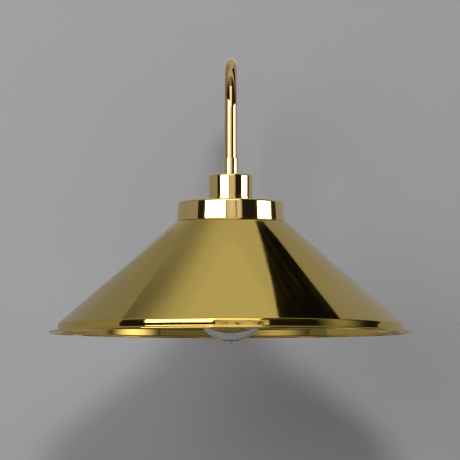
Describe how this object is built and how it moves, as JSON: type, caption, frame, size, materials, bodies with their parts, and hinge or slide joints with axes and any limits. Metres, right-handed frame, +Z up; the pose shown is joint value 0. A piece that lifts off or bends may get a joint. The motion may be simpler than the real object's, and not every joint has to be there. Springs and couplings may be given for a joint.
{
  "type": "swan-neck wall light",
  "caption": "Polished brass swan-neck wall light with a drum collar, a wide conical shade with a rolled rim, and a screw-in clear globe lamp.",
  "frame": {"origin": "centre of the wall bracket's back face, on the wall, which is also the centre of the wall slots", "axes": "+Z up, +Y into the wall, so the light reaches out along -Y, +X to the right for someone facing the light"},
  "size_m": [0.3, 0.395, 0.2446],
  "materials": {
    "zinc_steel": "zinc plated, dull",
    "rose_brass": "polished and lacquered",
    "screw_brass": "polished, slotted heads",
    "turned_brass": "polished, turned",
    "tinned_tag": "tinned",
    "plain_brass": "as machined",
    "block_nylon": "moulded nylon",
    "brown_insulation": "extruded, satin",
    "blue_insulation": "extruded, satin",
    "green_yellow_insulation": "green and yellow stripes",
    "bare_copper": "bright copper",
    "arm_brass": "polished tube",
    "white_ceramic": "glazed",
    "collar_brass": "mirror polished, pale",
    "shade_brass": "mirror polished and lacquered",
    "lamp_plating": "nickel plate",
    "black_glass": "black glass",
    "clear_glass": "clear, blown",
    "phosphor": "yellow phosphor coat",
    "board_green": "printed board"
  },
  "bodies": {
    "root": {"wall_bracket": "zinc_steel", "wall_rose": "rose_brass", "rose_screws": "screw_brass", "arm_boss": "turned_brass", "backing_washer": "zinc_steel", "earth_tag": "tinned_tag", "arm_locknut": "plain_brass", "terminal_block": "block_nylon", "terminal_barrels": "plain_brass", "terminal_screws": "zinc_steel", "block_screws": "zinc_steel", "lead_live": "brown_insulation", "lead_neutral": "blue_insulation", "lead_earth": "green_yellow_insulation", "conductor_ends": "bare_copper", "arm_tube": "arm_brass", "arm_ferrule": "turned_brass", "holder_locknut": "plain_brass", "lampholder_cap": "turned_brass", "lampholder_skirt": "plain_brass", "shade_ring": "plain_brass", "lampholder_ceramic": "white_ceramic", "lampholder_screw_shell": "plain_brass", "lampholder_contact": "plain_brass", "lampholder_rivets": "plain_brass", "lampholder_terminals": "plain_brass", "lampholder_terminal_screws": "zinc_steel", "shade_collar": "collar_brass", "shade_cone": "shade_brass"},
    "bulb_contact": {"bulb_contact": "lamp_plating"},
    "bulb": {"bulb_insulator": "black_glass", "bulb_screw_cap": "lamp_plating", "bulb_glass": "clear_glass", "bulb_stem": "clear_glass", "bulb_filaments": "phosphor", "bulb_support_wires": "zinc_steel", "bulb_driver": "board_green"}
  },
  "joints": [
    {"name": "bulb_travel", "type": "slide", "parent": "root", "child": "bulb_contact", "axis": [0, 0, -1], "range_m": [0, 0.01815]},
    {"name": "bulb_turn", "type": "hinge", "parent": "bulb_contact", "child": "bulb", "pos_m": [0, -0.245, 0.0377], "axis": [0, 0, -1], "range_deg": [0, 1800]}
  ],
  "couplings": [
    {"joint": "bulb_travel", "follows": "bulb_turn", "m_per_rad": 0.0005775}
  ]
}
